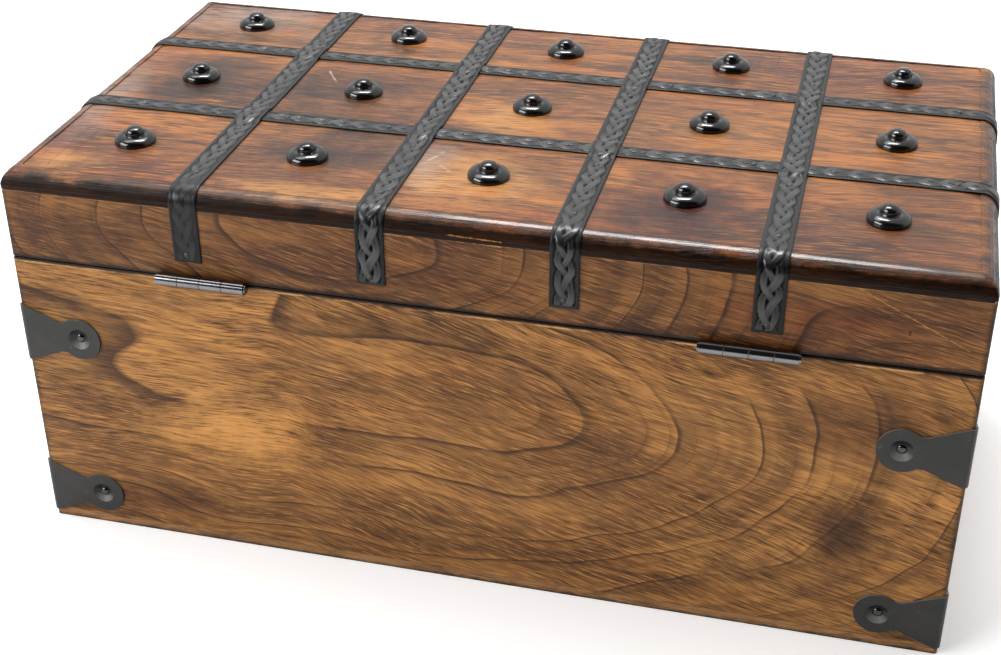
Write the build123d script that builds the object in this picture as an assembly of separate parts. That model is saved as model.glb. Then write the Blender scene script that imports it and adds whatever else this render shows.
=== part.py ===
from math import radians, sin
import os

from build123d import *

# A small wooden treasure chest, in millimetres.
# +Z is up, the origin is the bottom centre, the front (hasp) is -Y and the hinges are on +Y.

# The wooden box
chest_length = 368.0
chest_depth = 200.0
base_height = 125.0
lid_height = 36.8
seam_gap = 0.2
bottom_thickness = 4.4
wall_thickness = 11.0
top_thickness = 7.0
top_edge_radius = 6.5
edge_radius = 0.8
corner_radius = 1.5
cut_overrun = 1.0

# Glued dowels inside the corners and under the top board
dowel_radius = 3.0
dowel_in_face = 6.5
dowel_in_end = 16.0
dowel_in_top = 3.5
dowel_in_frame = 12.0
dowel_clearance = 0.05
base_corner_dowel_count = 3
lid_corner_dowel_count = 2

# Small nails: straps, brackets, hasp and bottom board
nail_radius = 0.7
nail_length = 5.0
strap_nail_head_radius = 1.2
strap_nail_head_height = 0.5
bracket_nail_head_radius = 1.9
bracket_nail_head_height = 0.8
bottom_nail_radius = 1.0
bottom_nail_head_radius = 2.2
bottom_nail_head_height = 0.8
bottom_nail_length = 20.0
bottom_nail_along_count = 4
bottom_nail_across_count = 2
nail_clearance = 0.05
nail_dome_share = 0.75

# Iron straps
strap_thickness = 0.8
cross_strap_width = 11.0
long_strap_width = 9.5
long_strap_place_shares = (0.28, -0.41)
strap_end_rise = 7.3
strap_end_nail = 3.0
strap_nail_step = 15.0
strap_ramp = 3.0
strap_side_clearance = 0.3

# Dome studs in three rows of five
stud_radius = 8.0
stud_wall_height = 1.4
stud_shoulder_radius = 4.6
stud_shoulder_height = 3.3
stud_groove_radius = 3.8
stud_groove_height = 2.9
stud_button_radius = 3.4
stud_button_height = 4.3
stud_height = 6.4
stud_shank_radius = 1.1
stud_shank_length = 5.0
stud_column_step = 72.6
stud_column_count = 5
stud_row_place_shares = (0.62, -0.05, -0.695)
stud_bulge_share = 0.7
stud_button_bulge_share = 0.6

# Corner brackets of sheet iron
bracket_thickness = 0.8
bracket_fold_height = 25.0
bracket_neck_height = 13.5
bracket_neck_reach = 15.5
bracket_tab_radius = 9.0
bracket_tab_reach = 24.0
bracket_low_rise = 15.5
bracket_high_drop = 34.0
dimple_radius = 4.9
dimple_floor_radius = 2.6
dimple_depth = 1.5

# Butt hinges on the back, with the pins on the seam
hinge_length = 35.6
hinge_x = 103.5
hinge_knuckle_count = 4
hinge_leaf_width = 9.5
hinge_leaf_thickness = 1.0
hinge_barrel_radius = 2.5
hinge_pin_radius = 1.1
hinge_pin_head_radius = 1.9
hinge_pin_head_height = 0.5
hinge_pin_clearance = 0.05
hinge_wall_clearance = 0.3
knuckle_gap = 0.2
mortise_clearance = 0.1
screw_radius = 0.9
screw_head_radius = 1.8
screw_length = 9.0
screw_step = 13.0
hinge_screw_count = 3

# Hasp on the front, stored thrown back against the lid
hasp_leaf_width = 30.0
hasp_leaf_height = 12.0
hasp_leaf_thickness = 1.0
hasp_axis_rise = 5.8
hasp_axis_proud = 3.2
hasp_barrel_radius = 1.8
hasp_pin_radius = 0.8
hasp_pin_clearance = 0.05
hasp_barrel_length = 24.0
hasp_knuckle_count = 3
hasp_strap_width = 16.0
hasp_tip_margin = 5.8
hasp_strap_thickness = 1.2
hasp_lean_angle = 4.5
hasp_nail_side = 11.5
hasp_nail_head_radius = 1.7
hasp_nail_head_height = 0.5
hasp_nail_height_share = 0.65
slot_width = 11.0
slot_height = 6.4
slot_reach = 18.0

# Staple on the base that the hasp drops over
staple_plate_width = 24.0
staple_plate_height = 12.0
staple_plate_thickness = 1.0
staple_wire_radius = 1.2
staple_inner_width = 5.0
staple_reach = 10.5
staple_leg_depth = 7.0
staple_nail_side = 8.5

lid_bottom = base_height + seam_gap
chest_height = lid_bottom + lid_height
frame_top = chest_height - top_thickness
half_length = chest_length / 2
half_depth = chest_depth / 2
end_length = chest_depth - 2 * wall_thickness
wall_middle = wall_thickness / 2
hinge_axis_y = half_depth + hinge_barrel_radius + hinge_wall_clearance
hinge_axis_z = base_height + seam_gap / 2
hasp_axis_y = -half_depth - hasp_axis_proud
hasp_axis_height = lid_bottom + hasp_axis_rise
hasp_strap_length = slot_reach + slot_height / 2 + hasp_tip_margin
staple_height = hasp_axis_height - slot_reach
nail_hole_radius = nail_radius + nail_clearance
strap_end_height = lid_bottom + strap_end_rise
bracket_levels = {"lower": bracket_low_rise, "upper": base_height - bracket_high_drop}


def row_places(step, count):
    # Even places about the middle.
    return [step * (i - (count - 1) / 2) for i in range(count)]


stud_x = row_places(stud_column_step, stud_column_count)
stud_y = [half_depth * share for share in stud_row_place_shares]
cross_strap_x = row_places(stud_column_step, stud_column_count - 1)
long_strap_y = [half_depth * share for share in long_strap_place_shares]
side_names = {1: "left", -1: "right"}

to_back = (-90, 0, 0)
to_front = (90, 0, 0)
to_left = (0, 90, 0)
to_right = (0, -90, 0)
to_top = (0, 0, 0)
to_bottom = (180, 0, 0)


def group(solids):
    # Several separate solids of one kind, kept apart in one piece of the assembly.
    return Compound(children=list(solids))


def cut_all(body, tools):
    return body - list(tools)


def block(low, high):
    middle = [(a + b) / 2 for a, b in zip(low, high)]
    size = [b - a for a, b in zip(low, high)]
    return Pos(*middle) * Box(*size)


def rod(radius, length, place, turn):
    # A cylinder from its place outwards along the turned Z.
    return Pos(*place) * Rot(*turn) * Pos(0, 0, length / 2) * Cylinder(radius, length)


def revolved(points, place, turn):
    # A turned shape from half an outline of straight runs.
    outline = make_face(Polyline(*[(radius, 0, height) for radius, height in points], close=True))
    return Pos(*place) * Rot(*turn) * revolve(outline, Axis.Z, 360)


def domed_nail(place, turn, head_radius, head_height):
    # The place is the centre of the head's underside, and the shank runs inwards.
    head_point = (0, 0, head_height)
    shoulder = (head_radius * nail_dome_share, 0, head_height * nail_dome_share)
    rim = (head_radius, 0, 0)
    outline = Polyline((nail_radius, 0, -nail_length), (0, 0, -nail_length), head_point)
    dome = ThreePointArc(head_point, shoulder, rim)
    under = Polyline(rim, (nail_radius, 0, 0), (nail_radius, 0, -nail_length))
    nail = revolve(make_face([outline, dome, under]), Axis.Z, 360)
    return Pos(*place) * Rot(*turn) * nail


def nail_hole(place, turn):
    depth = nail_length + nail_clearance
    shaft = Cylinder(nail_hole_radius, depth + cut_overrun)
    return Pos(*place) * Rot(*turn) * Pos(0, 0, (cut_overrun - depth) / 2) * shaft


def dome_stud(x, y):
    # A pressed dome with a shoulder, a ring groove and a button on top, on a short shank.
    button_rise = (stud_height - stud_button_height) * stud_bulge_share
    button_middle = (stud_button_radius * stud_button_bulge_share, 0, stud_button_height + button_rise)
    shoulder_run = (stud_radius - stud_shoulder_radius) * stud_bulge_share
    shoulder_rise = (stud_shoulder_height - stud_wall_height) * stud_bulge_share
    shoulder_middle = (stud_shoulder_radius + shoulder_run, 0, stud_wall_height + shoulder_rise)
    top = (0, 0, stud_height)
    button_rim = (stud_button_radius, 0, stud_button_height)
    shoulder_inner = (stud_shoulder_radius, 0, stud_shoulder_height)
    wall_top = (stud_radius, 0, stud_wall_height)
    core = Polyline((stud_shank_radius, 0, -stud_shank_length), (0, 0, -stud_shank_length), top)
    button = ThreePointArc(top, button_middle, button_rim)
    groove = Polyline(
        button_rim,
        (stud_button_radius, 0, stud_groove_height),
        (stud_groove_radius, 0, stud_groove_height),
        shoulder_inner,
    )
    shoulder = ThreePointArc(shoulder_inner, shoulder_middle, wall_top)
    rim = Polyline(
        wall_top,
        (stud_radius, 0, 0),
        (stud_shank_radius, 0, 0),
        (stud_shank_radius, 0, -stud_shank_length),
    )
    outline = make_face([core, button, groove, shoulder, rim])
    return Pos(x, y, chest_height) * revolve(outline, Axis.Z, 360)


def stud_places():
    return [(x, y) for y in stud_y for x in stud_x]


def stud_holes():
    depth = stud_shank_length + nail_clearance
    for x, y in stud_places():
        place = (x, y, chest_height - depth)
        yield rod(stud_shank_radius + nail_clearance, depth + cut_overrun, place, to_top)


def strap_path(half_span, crossings, offset):
    # One face of a strap from its right end, over the top, to its left end.
    radius = top_edge_radius + offset
    bend_z = chest_height - top_edge_radius
    bend = half_span - top_edge_radius
    low = (-half_span - offset, strap_end_height)
    shoulder = (-half_span - offset, bend_z)
    flat_start = (-bend, chest_height + offset)
    runs = [flat_start]
    for middle, width in sorted(crossings):
        half = width / 2 + strap_side_clearance
        lifted = chest_height + offset + strap_thickness
        runs.append((middle - half - strap_ramp, chest_height + offset))
        runs.append((middle - half, lifted))
        runs.append((middle + half, lifted))
        runs.append((middle + half + strap_ramp, chest_height + offset))
    runs.append((bend, chest_height + offset))
    mid = radius * sin(radians(45))
    left_arc = ThreePointArc(shoulder, (-bend - mid, bend_z + mid), flat_start)
    right_arc = ThreePointArc(runs[-1], (bend + mid, bend_z + mid), (half_span + offset, bend_z))
    edges = [Line(low, shoulder), left_arc, Polyline(*runs), right_arc]
    edges.append(Line((half_span + offset, bend_z), (half_span + offset, strap_end_height)))
    return edges


def strap_section(half_span, crossings):
    inner = strap_path(half_span, crossings, 0)
    outer = strap_path(half_span, crossings, strap_thickness)
    outer_end = half_span + strap_thickness
    caps = [
        Line((-half_span, strap_end_height), (-outer_end, strap_end_height)),
        Line((half_span, strap_end_height), (outer_end, strap_end_height)),
    ]
    return make_face(inner + outer + caps)


def cross_strap(x):
    crossings = [(y, long_strap_width) for y in long_strap_y]
    section = Plane.YZ * strap_section(half_depth, crossings)
    return Pos(x - cross_strap_width / 2, 0, 0) * extrude(section, cross_strap_width)


def long_strap(y):
    section = Plane.XZ * strap_section(half_length, [])
    return Pos(0, y + long_strap_width / 2, 0) * extrude(section, long_strap_width)


def strap_run_nails(half_span, crossings):
    # Places along a strap: beside each crossing and near both bends.
    edge = half_span - strap_nail_step
    beside = [middle + side * strap_nail_step for middle in crossings for side in (-1, 1)]
    return [-edge, edge] + [place for place in beside if abs(place) < edge - strap_nail_step / 2]


def strap_nail_places():
    # Each nail's place on the strap's outer face, and the way that it points.
    top = chest_height + strap_thickness
    end_z = strap_end_height + strap_end_nail
    places = []
    for x in cross_strap_x:
        for y in strap_run_nails(half_depth, long_strap_y):
            places.append(((x, y, top), to_top))
        places.append(((x, half_depth + strap_thickness, end_z), to_back))
        places.append(((x, -half_depth - strap_thickness, end_z), to_front))
    for y in long_strap_y:
        for x in strap_run_nails(half_length, cross_strap_x):
            places.append(((x, y, top), to_top))
        places.append(((half_length + strap_thickness, y, end_z), to_left))
        places.append(((-half_length - strap_thickness, y, end_z), to_right))
    return places


def strap_nail_holes():
    return [nail_hole(place, turn) for place, turn in strap_nail_places()]


def bracket_outline(side):
    # The sheet's outline on one face, from the end of the fold to the round tab.
    start = corner_radius * side
    neck = bracket_neck_reach * side
    half_fold = bracket_fold_height / 2
    half_neck = bracket_neck_height / 2
    flat = Polyline(
        (start, -half_fold),
        (start, half_fold),
        (neck, half_neck),
        (bracket_tab_reach * side, half_neck),
        (bracket_tab_reach * side, -half_neck),
        (neck, -half_neck),
        close=True,
    )
    return make_face(flat) + Pos(bracket_tab_reach * side, 0) * Circle(bracket_tab_radius)


def dish(place, turn, rise, inset):
    # The cone of a bracket's pressed dish, from its floor up to its mouth.
    cone = Cone(
        dimple_floor_radius - inset,
        dimple_radius - inset,
        dimple_depth,
        align=(Align.CENTER, Align.CENTER, Align.MIN),
    )
    return Pos(*place) * Rot(*turn) * Pos(0, 0, rise - dimple_depth) * cone


def bracket_faces(x_side, y_side, z):
    # The two tab centres on the wood's own faces, with the way that each face points.
    tab_x = x_side * (half_length - bracket_tab_reach)
    tab_y = y_side * (half_depth - bracket_tab_reach)
    back = ((tab_x, y_side * half_depth, z), to_back if y_side > 0 else to_front)
    end = ((x_side * half_length, tab_y, z), to_left if x_side > 0 else to_right)
    return [back, end]


def bracket_corners():
    for level, z in bracket_levels.items():
        for y_side, y_name in ((1, "back"), (-1, "front")):
            for x_side in (1, -1):
                yield f"corner_bracket_{level}_{y_name}_{side_names[x_side]}", x_side, y_side, z


def corner_bracket(x_side, y_side, z):
    # Two flat tabs joined by a quarter round fold, with a pressed dish in each tab.
    corner_x = x_side * half_length
    corner_y = y_side * half_depth
    face_plane = Plane((corner_x, corner_y, z), x_dir=(1, 0, 0), z_dir=(0, -1, 0))
    end_plane = Plane((corner_x, corner_y, z), x_dir=(0, 1, 0), z_dir=(1, 0, 0))
    on_face = extrude(face_plane * bracket_outline(-x_side), bracket_thickness * -y_side)
    on_end = extrude(end_plane * bracket_outline(-y_side), bracket_thickness * x_side)
    fold_x = corner_x - x_side * corner_radius
    fold_y = corner_y - y_side * corner_radius
    reach = corner_radius + bracket_thickness
    quarter = Pos(fold_x + x_side * reach / 2, fold_y + y_side * reach / 2, z)
    quarter = quarter * Box(reach, reach, bracket_fold_height)
    bend = Cylinder(reach, bracket_fold_height) - Cylinder(corner_radius, bracket_fold_height + cut_overrun)
    sheet = on_face + on_end + (quarter & (Pos(fold_x, fold_y, z) * bend))
    for place, turn in bracket_faces(x_side, y_side, z):
        sheet = sheet + dish(place, turn, 0, 0)
        sheet = sheet - dish(place, turn, bracket_thickness, bracket_thickness / 2)
        sheet = sheet - nail_hole(place, turn)
    return sheet


def bracket_nail_places():
    # A nail's head sits on the floor of the dish.
    floor = bracket_thickness - dimple_depth
    for _, x_side, y_side, z in bracket_corners():
        for place, turn in bracket_faces(x_side, y_side, z):
            seat = Pos(*place) * Rot(*turn) * Pos(0, 0, floor)
            yield tuple(seat.position), turn


def bracket_pockets():
    # What the boards lose to the dishes and nails of the brackets.
    pockets = []
    for _, x_side, y_side, z in bracket_corners():
        for place, turn in bracket_faces(x_side, y_side, z):
            pockets.append(dish(place, turn, 0, 0))
    pockets.extend(nail_hole(place, turn) for place, turn in bracket_nail_places())
    return pockets


def dowel_rows(low, high, count):
    step = (high - low) / count
    return [low + step * (i + 0.5) for i in range(count)]


def corner_dowel_places(low, high, count):
    for z in dowel_rows(low, high, count):
        for x_side in (1, -1):
            for y_side in (1, -1):
                yield x_side * (half_length - wall_middle), y_side, z


def corner_dowels(low, high, count, clearance):
    # Dowels across the butt joint between a long board and an end board.
    joint_y = half_depth - wall_thickness
    inner = joint_y - dowel_in_end - clearance
    length = dowel_in_face + dowel_in_end + 2 * clearance
    for x, y_side, z in corner_dowel_places(low, high, count):
        turn = to_back if y_side > 0 else to_front
        yield rod(dowel_radius + clearance, length, (x, y_side * inner, z), turn)


def top_dowel_places():
    along = half_length - wall_middle
    across = half_depth - wall_middle
    places = [(x, side * across) for x in (-stud_column_step, stud_column_step) for side in (1, -1)]
    return places + [(side * along, 0) for side in (1, -1)]


def top_dowels(clearance):
    length = dowel_in_top + dowel_in_frame + 2 * clearance
    for x, y in top_dowel_places():
        yield rod(dowel_radius + clearance, length, (x, y, frame_top - dowel_in_frame - clearance), to_top)


def long_board(y_side, low, high, open_edge):
    # A front or back board over the full length, with rounded upright corners.
    inner = y_side * (half_depth - wall_thickness)
    outer = y_side * half_depth
    board = block((-half_length, min(inner, outer), low), (half_length, max(inner, outer), high))
    corners = [edge for edge in board.edges().filter_by(Axis.Z) if is_outside(edge)]
    board = fillet(corners, corner_radius)
    return soften_seam(board, open_edge)


def end_board(x_side, low, high, open_edge):
    # An end board between the two long boards.
    inner = x_side * (half_length - wall_thickness)
    outer = x_side * half_length
    board = block((min(inner, outer), -end_length / 2, low), (max(inner, outer), end_length / 2, high))
    return soften_seam(board, open_edge)


def soften_seam(board, height):
    # Breaks the outer edge along the seam.
    level_faces = board.faces().filter_by(Axis.Z)
    seam_face = min(level_faces, key=lambda face: abs(face.center().Z - height))
    outer = [edge for edge in seam_face.edges() if is_outside(edge)]
    return fillet(outer, edge_radius)


def is_outside(edge):
    middle = edge @ 0.5
    on_long = abs(middle.Y) > half_depth - corner_radius
    on_end = abs(middle.X) > half_length - corner_radius
    return on_long or on_end


def bottom_board():
    board = block((-half_length, -half_depth, 0), (half_length, half_depth, bottom_thickness))
    board = fillet(board.edges().filter_by(Axis.Z), corner_radius)
    board = fillet(board.faces().sort_by(Axis.Z)[-1].edges(), edge_radius)
    return cut_all(board, bottom_nails(nail_clearance))


def top_board():
    board = block((-half_length, -half_depth, frame_top), (half_length, half_depth, chest_height))
    board = fillet(board.edges().filter_by(Axis.Z), corner_radius)
    board = fillet(board.faces().sort_by(Axis.Z)[-1].edges(), top_edge_radius)
    board = cut_all(board, stud_holes())
    board = cut_all(board, top_dowels(dowel_clearance))
    return cut_all(board, strap_nail_holes())


def bottom_nail_places():
    along = [half_length * share for share in edge_shares(bottom_nail_along_count)]
    across = [half_depth * share for share in edge_shares(bottom_nail_across_count)]
    places = [(x, side * (half_depth - wall_middle)) for x in along for side in (1, -1)]
    return places + [(side * (half_length - wall_middle), y) for y in across for side in (1, -1)]


def edge_shares(count):
    # Even places along one edge, as shares of half its length.
    return [(2 * i + 1) / count - 1 for i in range(count)]


def bottom_nails(clearance):
    # Flat-headed nails driven up through the bottom board into the walls.
    radius = bottom_nail_radius + clearance
    head_radius = bottom_nail_head_radius + clearance
    head_height = bottom_nail_head_height + clearance
    points = [(0, 0), (head_radius, 0), (head_radius, head_height), (radius, head_height)]
    points += [(radius, bottom_nail_length + clearance), (0, bottom_nail_length + clearance)]
    for x, y in bottom_nail_places():
        yield revolved(points, (x, y, 0), to_top)


def hinge_mortise(x, low, high):
    # A shallow seat for one leaf, open to the back.
    half = hinge_length / 2 + mortise_clearance
    inner = half_depth - hinge_leaf_width - mortise_clearance
    return block((x - half, inner, low), (x + half, half_depth + cut_overrun, high))


def knuckle_spans(x, length, count, first):
    step = length / count
    for i in range(first, count, 2):
        start = x - length / 2 + i * step
        yield start + knuckle_gap / 2, start + step - knuckle_gap / 2


def hinge_leaf(x, direction, first):
    # A flat leaf let into the wood, with its knuckles round the pin. Direction is -1 on the base.
    touching = hinge_axis_z + direction * seam_gap / 2
    far = touching + direction * hinge_leaf_thickness
    low, high = min(touching, far), max(touching, far)
    half = hinge_length / 2
    plate = block((x - half, half_depth - hinge_leaf_width, low), (x + half, half_depth, high))
    for start, end in knuckle_spans(x, hinge_length, hinge_knuckle_count, first):
        arm = block((start, half_depth, low), (end, hinge_axis_y, high))
        barrel = rod(hinge_barrel_radius, end - start, (start, hinge_axis_y, hinge_axis_z), to_left)
        plate = plate + arm + barrel
    bore = rod(
        hinge_pin_radius + hinge_pin_clearance,
        hinge_length + 2 * cut_overrun,
        (x - half - cut_overrun, hinge_axis_y, hinge_axis_z),
        to_left,
    )
    return cut_all(plate - bore, hinge_screws_of(x, direction, nail_clearance))


def hinge_pin(x):
    left_end = (x + hinge_length / 2, hinge_axis_y, hinge_axis_z)
    right_end = (x - hinge_length / 2, hinge_axis_y, hinge_axis_z)
    shaft = rod(hinge_pin_radius, hinge_length, right_end, to_left)
    left_head = rod(hinge_pin_head_radius, hinge_pin_head_height, left_end, to_left)
    right_head = rod(hinge_pin_head_radius, hinge_pin_head_height, right_end, to_right)
    return shaft + left_head + right_head


def hinge_screws_of(x, direction, clearance):
    # Countersunk screws whose heads lie flush with the leaf.
    face = hinge_axis_z + direction * seam_gap / 2
    radius = screw_radius + clearance
    head = screw_head_radius + clearance
    points = [(0, 0), (head, 0), (radius, head - radius), (radius, screw_length + clearance)]
    points += [(0, screw_length + clearance)]
    turn = to_top if direction > 0 else to_bottom
    for place in row_places(screw_step, hinge_screw_count):
        yield revolved(points, (x + place, half_depth - wall_middle, face), turn)


def hasp_leaf():
    # The plate on the lid, with the two outer knuckles.
    inner = -half_depth
    outer = inner - hasp_leaf_thickness
    half = hasp_leaf_width / 2
    plate = block((-half, outer, hasp_axis_height), (half, inner, hasp_axis_height + hasp_leaf_height))
    for start, end in knuckle_spans(0, hasp_barrel_length, hasp_knuckle_count, 0):
        arm_top = hasp_axis_height + hasp_leaf_thickness
        arm = block((start, hasp_axis_y, hasp_axis_height), (end, inner, arm_top))
        barrel = rod(hasp_barrel_radius, end - start, (start, hasp_axis_y, hasp_axis_height), to_left)
        plate = plate + arm + barrel
    plate = plate - hasp_bore()
    return cut_all(plate, [nail_hole(place, to_front) for place in hasp_nail_places()])


def hasp_bore():
    length = hasp_barrel_length + 2 * cut_overrun
    start = (-length / 2, hasp_axis_y, hasp_axis_height)
    return rod(hasp_pin_radius + hasp_pin_clearance, length, start, to_left)


def hasp_pin():
    start = (-hasp_barrel_length / 2, hasp_axis_y, hasp_axis_height)
    return rod(hasp_pin_radius, hasp_barrel_length, start, to_left)


def hasp_strap():
    # The swinging strap with its slot and round end, drawn upright and then leant on the lid.
    straight = hasp_strap_length - hasp_strap_width / 2
    outline = Pos(0, straight / 2) * Rectangle(hasp_strap_width, straight)
    outline = outline + Pos(0, straight) * Circle(hasp_strap_width / 2)
    outline = outline - Pos(0, slot_reach) * Rectangle(slot_width, slot_height)
    start, end = list(knuckle_spans(0, hasp_barrel_length, hasp_knuckle_count, 1))[0]
    waist = hasp_barrel_radius + knuckle_gap
    outline = outline - Rectangle(hasp_barrel_length + cut_overrun, 2 * waist)
    outline = outline + Pos(0, waist / 2) * Rectangle(end - start, waist)
    plate = extrude(Plane.XZ * outline, hasp_strap_thickness / 2, both=True)
    barrel = rod(hasp_barrel_radius, end - start, (start, 0, 0), to_left)
    lean = Pos(0, hasp_axis_y, hasp_axis_height) * Rot(-hasp_lean_angle, 0, 0)
    return lean * (plate + barrel) - hasp_bore()


def hasp_nail_places():
    face = -half_depth - hasp_leaf_thickness
    for x in (-hasp_nail_side, hasp_nail_side):
        yield x, face, hasp_axis_height + hasp_leaf_height * hasp_nail_height_share


def staple_plate():
    half = staple_plate_width / 2
    z = staple_height
    low = (-half, -half_depth - staple_plate_thickness, z - staple_plate_height / 2)
    plate = block(low, (half, -half_depth, z + staple_plate_height / 2))
    plate = cut_all(plate, staple_leg_holes())
    return cut_all(plate, [nail_hole(place, to_front) for place in staple_nail_places()])


def staple_nail_places():
    for x in (-staple_nail_side, staple_nail_side):
        yield x, -half_depth - staple_plate_thickness, staple_height


def staple_leg_x():
    return staple_inner_width / 2 + staple_wire_radius


def staple_leg_holes():
    depth = staple_leg_depth + nail_clearance
    length = depth + staple_plate_thickness + cut_overrun
    for side in (-1, 1):
        place = (side * staple_leg_x(), -half_depth + depth, staple_height)
        yield rod(staple_wire_radius + nail_clearance, length, place, to_front)


def staple():
    # A round wire bent into a loop that lies level, with both legs in the wood.
    leg = staple_leg_x()
    wood_end = -half_depth + staple_leg_depth
    bow = -half_depth - staple_reach + staple_wire_radius
    start = (-leg, wood_end)
    turn_start = (-leg, bow + leg)
    turn_end = (leg, bow + leg)
    path = Line(start, turn_start) + ThreePointArc(turn_start, (0, bow), turn_end)
    path = path + Line(turn_end, (leg, wood_end))
    section = Plane((-leg, wood_end, 0), z_dir=(0, -1, 0)) * Circle(staple_wire_radius)
    return Pos(0, 0, staple_height) * sweep(section, path=path)


def base_board_cuts():
    cuts = list(bracket_pockets())
    cuts.extend(corner_dowels(bottom_thickness, base_height, base_corner_dowel_count, dowel_clearance))
    cuts.extend(bottom_nails(nail_clearance))
    return cuts


def lid_board_cuts():
    cuts = list(strap_nail_holes())
    cuts.extend(corner_dowels(lid_bottom, frame_top, lid_corner_dowel_count, dowel_clearance))
    cuts.extend(top_dowels(dowel_clearance))
    return cuts


def cut_near(board, tools):
    # Cuts only with the tools that reach the board.
    box = board.bounding_box()
    near = []
    for tool in tools:
        other = tool.bounding_box()
        apart = [
            other.min.X > box.max.X or other.max.X < box.min.X,
            other.min.Y > box.max.Y or other.max.Y < box.min.Y,
            other.min.Z > box.max.Z or other.max.Z < box.min.Z,
        ]
        if not any(apart):
            near.append(tool)
    return board - near if near else board


def hinge_seats(direction):
    # Mortises and screw holes of both hinges in the base (-1) or the lid (1).
    face = hinge_axis_z + direction * seam_gap / 2
    far = face + direction * hinge_leaf_thickness
    near = face - direction * cut_overrun
    cuts = [hinge_mortise(x, min(near, far), max(near, far)) for x in (-hinge_x, hinge_x)]
    for x in (-hinge_x, hinge_x):
        cuts.extend(hinge_screws_of(x, direction, nail_clearance))
    return cuts


def front_nail_holes(places):
    return [nail_hole(place, to_front) for place in places]


def front_nails(places):
    nails = [domed_nail(place, to_front, hasp_nail_head_radius, hasp_nail_head_height) for place in places]
    return group(nails)


def strap_nails():
    places = strap_nail_places()
    return group(domed_nail(*place, strap_nail_head_radius, strap_nail_head_height) for place in places)


def bracket_nails():
    places = bracket_nail_places()
    return group(domed_nail(*place, bracket_nail_head_radius, bracket_nail_head_height) for place in places)


def base_parts():
    cuts = base_board_cuts()
    front_cuts = cuts + list(staple_leg_holes()) + front_nail_holes(staple_nail_places())
    back_board = long_board(1, bottom_thickness, base_height, base_height)
    front_board = long_board(-1, bottom_thickness, base_height, base_height)
    parts = {
        "bottom_board": bottom_board(),
        "base_back_board": cut_near(back_board, cuts + hinge_seats(-1)),
        "base_front_board": cut_near(front_board, front_cuts),
        "base_corner_dowels": group(corner_dowels(bottom_thickness, base_height, base_corner_dowel_count, 0)),
        "bottom_board_nails": group(bottom_nails(0)),
        "bracket_nails": bracket_nails(),
        "staple_plate": staple_plate(),
        "staple": staple(),
        "staple_nails": front_nails(staple_nail_places()),
    }
    for side, name in side_names.items():
        board = end_board(side, bottom_thickness, base_height, base_height)
        parts[f"base_{name}_end_board"] = cut_near(board, cuts)
        parts[f"hinge_{name}_base_leaf"] = hinge_leaf(side * hinge_x, -1, 0)
        parts[f"hinge_{name}_pin"] = hinge_pin(side * hinge_x)
    screws = [screw for x in (-hinge_x, hinge_x) for screw in hinge_screws_of(x, -1, 0)]
    parts["hinge_base_screws"] = group(screws)
    for name, x_side, y_side, z in bracket_corners():
        parts[name] = corner_bracket(x_side, y_side, z)
    return parts


def lid_parts():
    cuts = lid_board_cuts()
    front_cuts = cuts + front_nail_holes(hasp_nail_places())
    back_board = long_board(1, lid_bottom, frame_top, lid_bottom)
    front_board = long_board(-1, lid_bottom, frame_top, lid_bottom)
    parts = {
        "lid_top_board": top_board(),
        "lid_back_board": cut_near(back_board, cuts + hinge_seats(1)),
        "lid_front_board": cut_near(front_board, front_cuts),
        "lid_corner_dowels": group(corner_dowels(lid_bottom, frame_top, lid_corner_dowel_count, 0)),
        "lid_top_dowels": group(top_dowels(0)),
        "dome_studs": group(dome_stud(x, y) for x, y in stud_places()),
        "strap_nails": strap_nails(),
        "hasp_leaf": hasp_leaf(),
        "hasp_pin": hasp_pin(),
        "hasp_nails": front_nails(hasp_nail_places()),
    }
    for side, name in side_names.items():
        parts[f"lid_{name}_end_board"] = cut_near(end_board(side, lid_bottom, frame_top, lid_bottom), cuts)
        parts[f"hinge_{name}_lid_leaf"] = hinge_leaf(side * hinge_x, 1, 1)
    screws = [screw for x in (-hinge_x, hinge_x) for screw in hinge_screws_of(x, 1, 0)]
    parts["hinge_lid_screws"] = group(screws)
    holes = strap_nail_holes()
    for number, x in enumerate(cross_strap_x, 1):
        parts[f"cross_strap_{number}"] = cut_near(cross_strap(x), holes)
    for name, y in zip(("back", "front"), long_strap_y):
        parts[f"long_strap_{name}"] = cut_near(long_strap(y), holes)
    return parts


os.makedirs("parts", exist_ok=True)
assembly = {**base_parts(), **lid_parts(), "hasp_strap": hasp_strap()}
for node, shape in assembly.items():
    export_step(shape, f"parts/{node}.step")
print("nodes", len(assembly))
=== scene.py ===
import bpy
import bmesh
import math
import random
from mathutils import Euler, Matrix, Vector, noise


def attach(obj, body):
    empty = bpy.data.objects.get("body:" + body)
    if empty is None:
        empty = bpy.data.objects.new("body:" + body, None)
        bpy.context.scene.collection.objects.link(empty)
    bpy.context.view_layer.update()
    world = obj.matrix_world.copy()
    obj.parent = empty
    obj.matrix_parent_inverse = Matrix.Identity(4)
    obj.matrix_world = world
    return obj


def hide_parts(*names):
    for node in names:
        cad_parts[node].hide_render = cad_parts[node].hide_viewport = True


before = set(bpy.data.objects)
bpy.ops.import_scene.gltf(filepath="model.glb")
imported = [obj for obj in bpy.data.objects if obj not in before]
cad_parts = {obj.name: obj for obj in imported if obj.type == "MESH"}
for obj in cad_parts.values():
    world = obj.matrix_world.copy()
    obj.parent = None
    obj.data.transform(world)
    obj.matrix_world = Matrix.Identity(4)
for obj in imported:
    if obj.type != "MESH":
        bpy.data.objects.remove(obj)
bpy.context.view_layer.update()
mm = 0.001
print("frame loaded")

# The camera stands behind the chest, where the photograph was taken from
view = {
    "place": (-138.8, 593.4, 424.6),  # mm in the chest's own frame
    "heading": (0.2475, -0.9689),  # level part of the viewing direction
    "downTilt": 30.82,  # degrees
    "roll": -0.26,  # degrees
    "lens": 58.27, "sensor": 36,  # mm
}


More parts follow.
